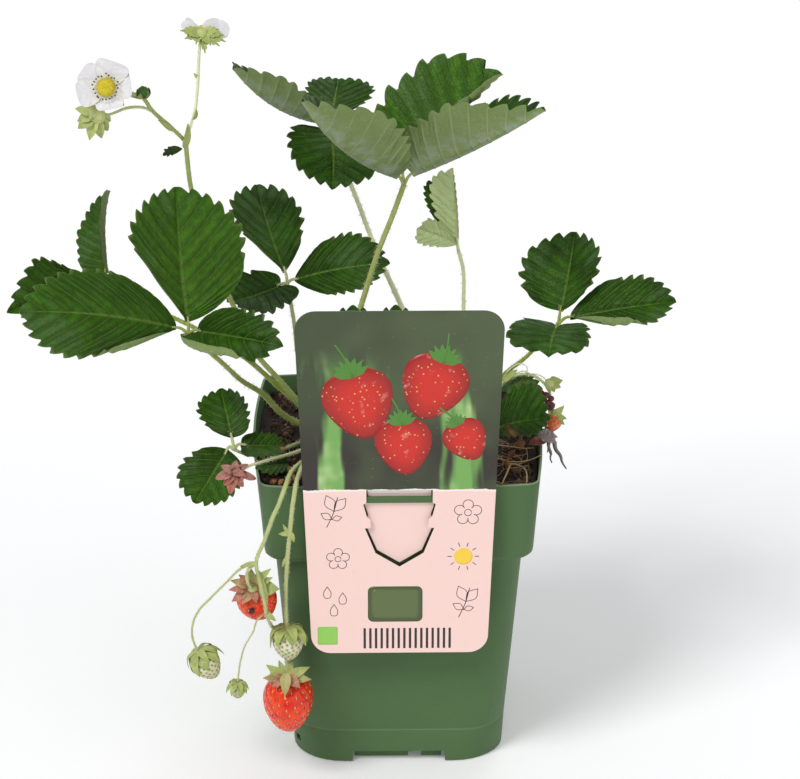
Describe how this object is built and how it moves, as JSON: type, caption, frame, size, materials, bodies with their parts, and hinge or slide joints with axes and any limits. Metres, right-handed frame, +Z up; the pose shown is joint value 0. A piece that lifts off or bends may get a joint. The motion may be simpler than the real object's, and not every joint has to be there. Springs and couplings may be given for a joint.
{
  "type": "potted strawberry plant",
  "caption": "Strawberry plant in a square green plastic pot of soil, with toothed leaves, white flowers, hanging fruit and a card label hooked on the rim.",
  "frame": {"origin": "on the ground, on the pot's vertical axis, at the underside of the centre pad", "axes": "+Z up from the ground, -Y towards the front where the label hangs, +X to the right seen from the front"},
  "size_m": [0.304, 0.1511, 0.3468],
  "materials": {
    "pot": "moulded dark green plastic with a faint sheen",
    "soil": "loose dark potting mix with bark and roots",
    "label": "printed coated card",
    "crown": "dull brown crown scales",
    "leaf": "semi-matt veined leaf, paler underneath",
    "young_leaf": "pale downy young leaf",
    "stalk": "hairy yellow-green stalk",
    "petal": "soft white petal",
    "flower_centre": "yellow domed centre with stamens",
    "calyx": "green sepals",
    "berry": "glossy red skin with sunken seeds",
    "orange_berry": "half ripe glossy skin",
    "green_fruit": "unripe pale skin with seeds",
    "withered": "withered reddish sepals",
    "dried": "dry brown remains"
  },
  "bodies": {
    "root": {"pot": "pot", "potting_soil": "soil", "plant_label": "label", "crown": "crown", "large_left_leaf_stalk": "stalk", "large_left_leaf_centre": "leaf", "large_left_leaf_left": "leaf", "large_left_leaf_right": "leaf", "far_left_leaf_stalk": "stalk", "far_left_leaf_left": "leaf", "far_left_leaf_upper": "leaf", "far_left_leaf_right": "leaf", "middle_left_leaf_stalk": "stalk", "middle_left_leaf_upper": "leaf", "middle_left_leaf_right": "leaf", "middle_left_leaf_left": "leaf", "tall_leaf_stalk": "stalk", "tall_leaf_left": "leaf", "tall_leaf_right": "leaf", "tall_leaf_back": "leaf", "back_tall_leaf_stalk": "stalk", "back_tall_leaf_left": "leaf", "back_tall_leaf_back": "leaf", "back_tall_leaf_front": "leaf", "right_leaf_stalk": "stalk", "right_leaf_upper": "leaf", "right_leaf_right": "leaf", "right_leaf_front": "leaf", "low_left_leaf_stalk": "stalk", "low_left_leaf_upper": "leaf", "low_left_leaf_left": "leaf", "low_left_leaf_right": "leaf", "young_leaf_stalk": "stalk", "young_leaf_blade": "young_leaf", "low_right_leaf_stalk": "stalk", "low_right_leaf_blade": "leaf", "hidden_leaf_stalk": "stalk", "hidden_leaf_blade": "leaf", "small_leaf": "leaf", "flower_stalk": "stalk", "open_flower_petals": "petal", "open_flower_centre": "flower_centre", "open_flower_calyx": "calyx", "side_flower_petals": "petal", "side_flower_calyx": "calyx", "spent_flower": "calyx", "flower_bud": "calyx", "long_fruit_stalk": "stalk", "short_fruit_stalk": "stalk", "low_berry_calyx": "calyx", "low_berry": "berry", "high_berry_calyx": "calyx", "high_berry": "berry", "front_green_fruit": "green_fruit", "left_green_fruit": "green_fruit", "small_green_fruit": "green_fruit", "withered_flower": "withered", "right_fruit_stalk": "stalk", "orange_berry": "orange_berry", "dried_flower": "dried"}
  },
  "joints": []
}
